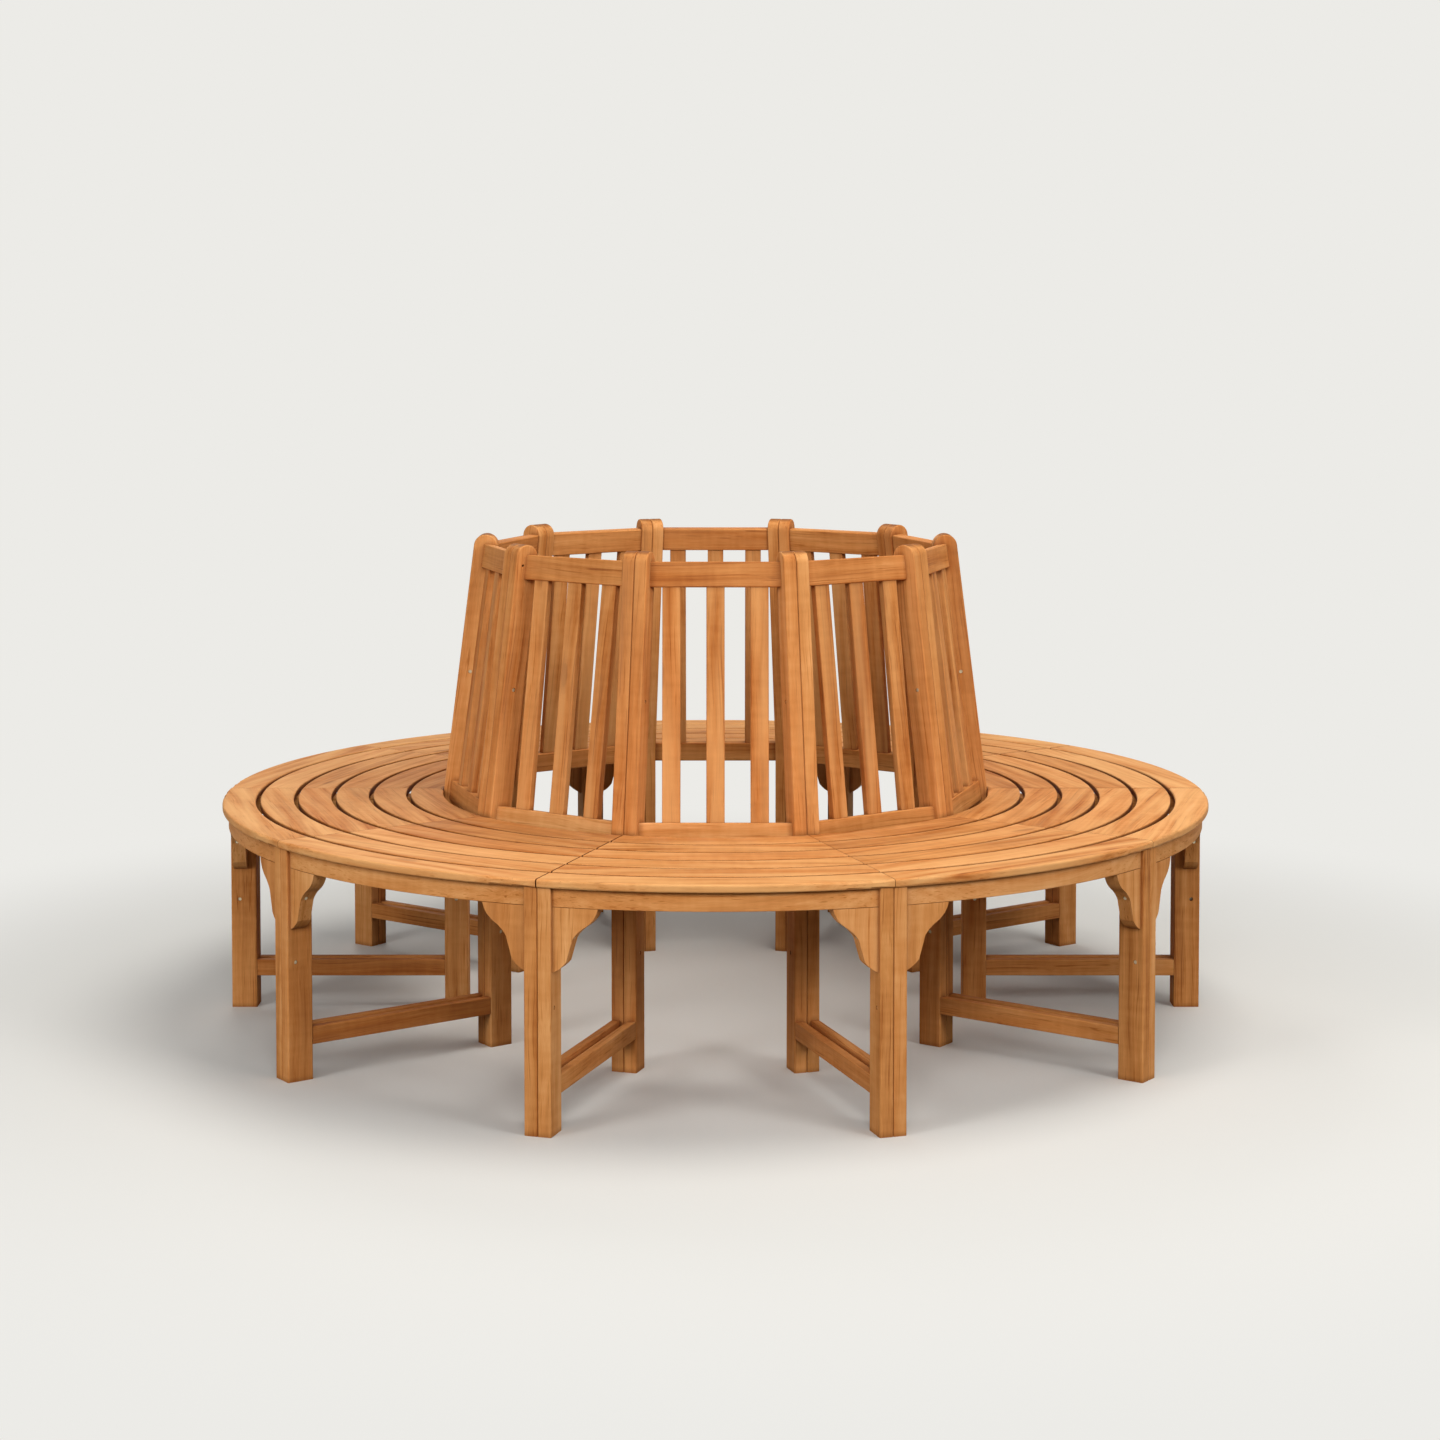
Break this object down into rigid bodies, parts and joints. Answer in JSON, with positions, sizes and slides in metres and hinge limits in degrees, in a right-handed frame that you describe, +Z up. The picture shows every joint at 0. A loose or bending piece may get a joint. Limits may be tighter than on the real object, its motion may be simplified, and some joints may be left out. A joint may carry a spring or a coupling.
{
  "type": "tree bench",
  "caption": "Round wooden bench that rings a tree trunk, with curved seat slats on paired legs and a slatted back that leans inward around an open middle.",
  "frame": {"origin": "on the ground at the centre of the ring, midway between all the feet", "axes": "+Z up along the ring's axis; -Y towards the front section, +X to its right"},
  "size_m": [2, 2, 0.975],
  "materials": {
    "hardwood": "planed and sanded hardwood with a warm orange-brown oil finish, satin",
    "steel": "zinc-plated steel fasteners"
  },
  "bodies": {
    "root": {"outer_leg_01": "hardwood", "back_post_01": "hardwood", "stretcher_pair_01": "hardwood", "top_rail_01": "hardwood", "outer_leg_02": "hardwood", "back_post_02": "hardwood", "stretcher_pair_02": "hardwood", "top_rail_02": "hardwood", "outer_leg_03": "hardwood", "back_post_03": "hardwood", "stretcher_pair_03": "hardwood", "top_rail_03": "hardwood", "outer_leg_04": "hardwood", "back_post_04": "hardwood", "stretcher_pair_04": "hardwood", "top_rail_04": "hardwood", "outer_leg_05": "hardwood", "back_post_05": "hardwood", "stretcher_pair_05": "hardwood", "top_rail_05": "hardwood", "outer_leg_06": "hardwood", "back_post_06": "hardwood", "stretcher_pair_06": "hardwood", "top_rail_06": "hardwood", "outer_leg_07": "hardwood", "back_post_07": "hardwood", "stretcher_pair_07": "hardwood", "top_rail_07": "hardwood", "outer_leg_08": "hardwood", "back_post_08": "hardwood", "stretcher_pair_08": "hardwood", "top_rail_08": "hardwood", "outer_leg_09": "hardwood", "back_post_09": "hardwood", "stretcher_pair_09": "hardwood", "top_rail_09": "hardwood", "outer_leg_10": "hardwood", "back_post_10": "hardwood", "stretcher_pair_10": "hardwood", "top_rail_10": "hardwood", "seat_slat_ring_1": "hardwood", "seat_slat_ring_2": "hardwood", "seat_slat_ring_3": "hardwood", "seat_slat_ring_4": "hardwood", "seat_slat_ring_5": "hardwood", "seat_slat_ring_6": "hardwood", "seat_bearers": "hardwood", "outer_aprons": "hardwood", "brackets_left": "hardwood", "brackets_right": "hardwood", "bottom_rails": "hardwood", "back_slats_left": "hardwood", "back_slats_middle": "hardwood", "back_slats_right": "hardwood", "connector_bolts": "steel", "connector_nuts": "steel", "bracket_screws": "steel", "slat_screws": "steel"}
  },
  "joints": []
}
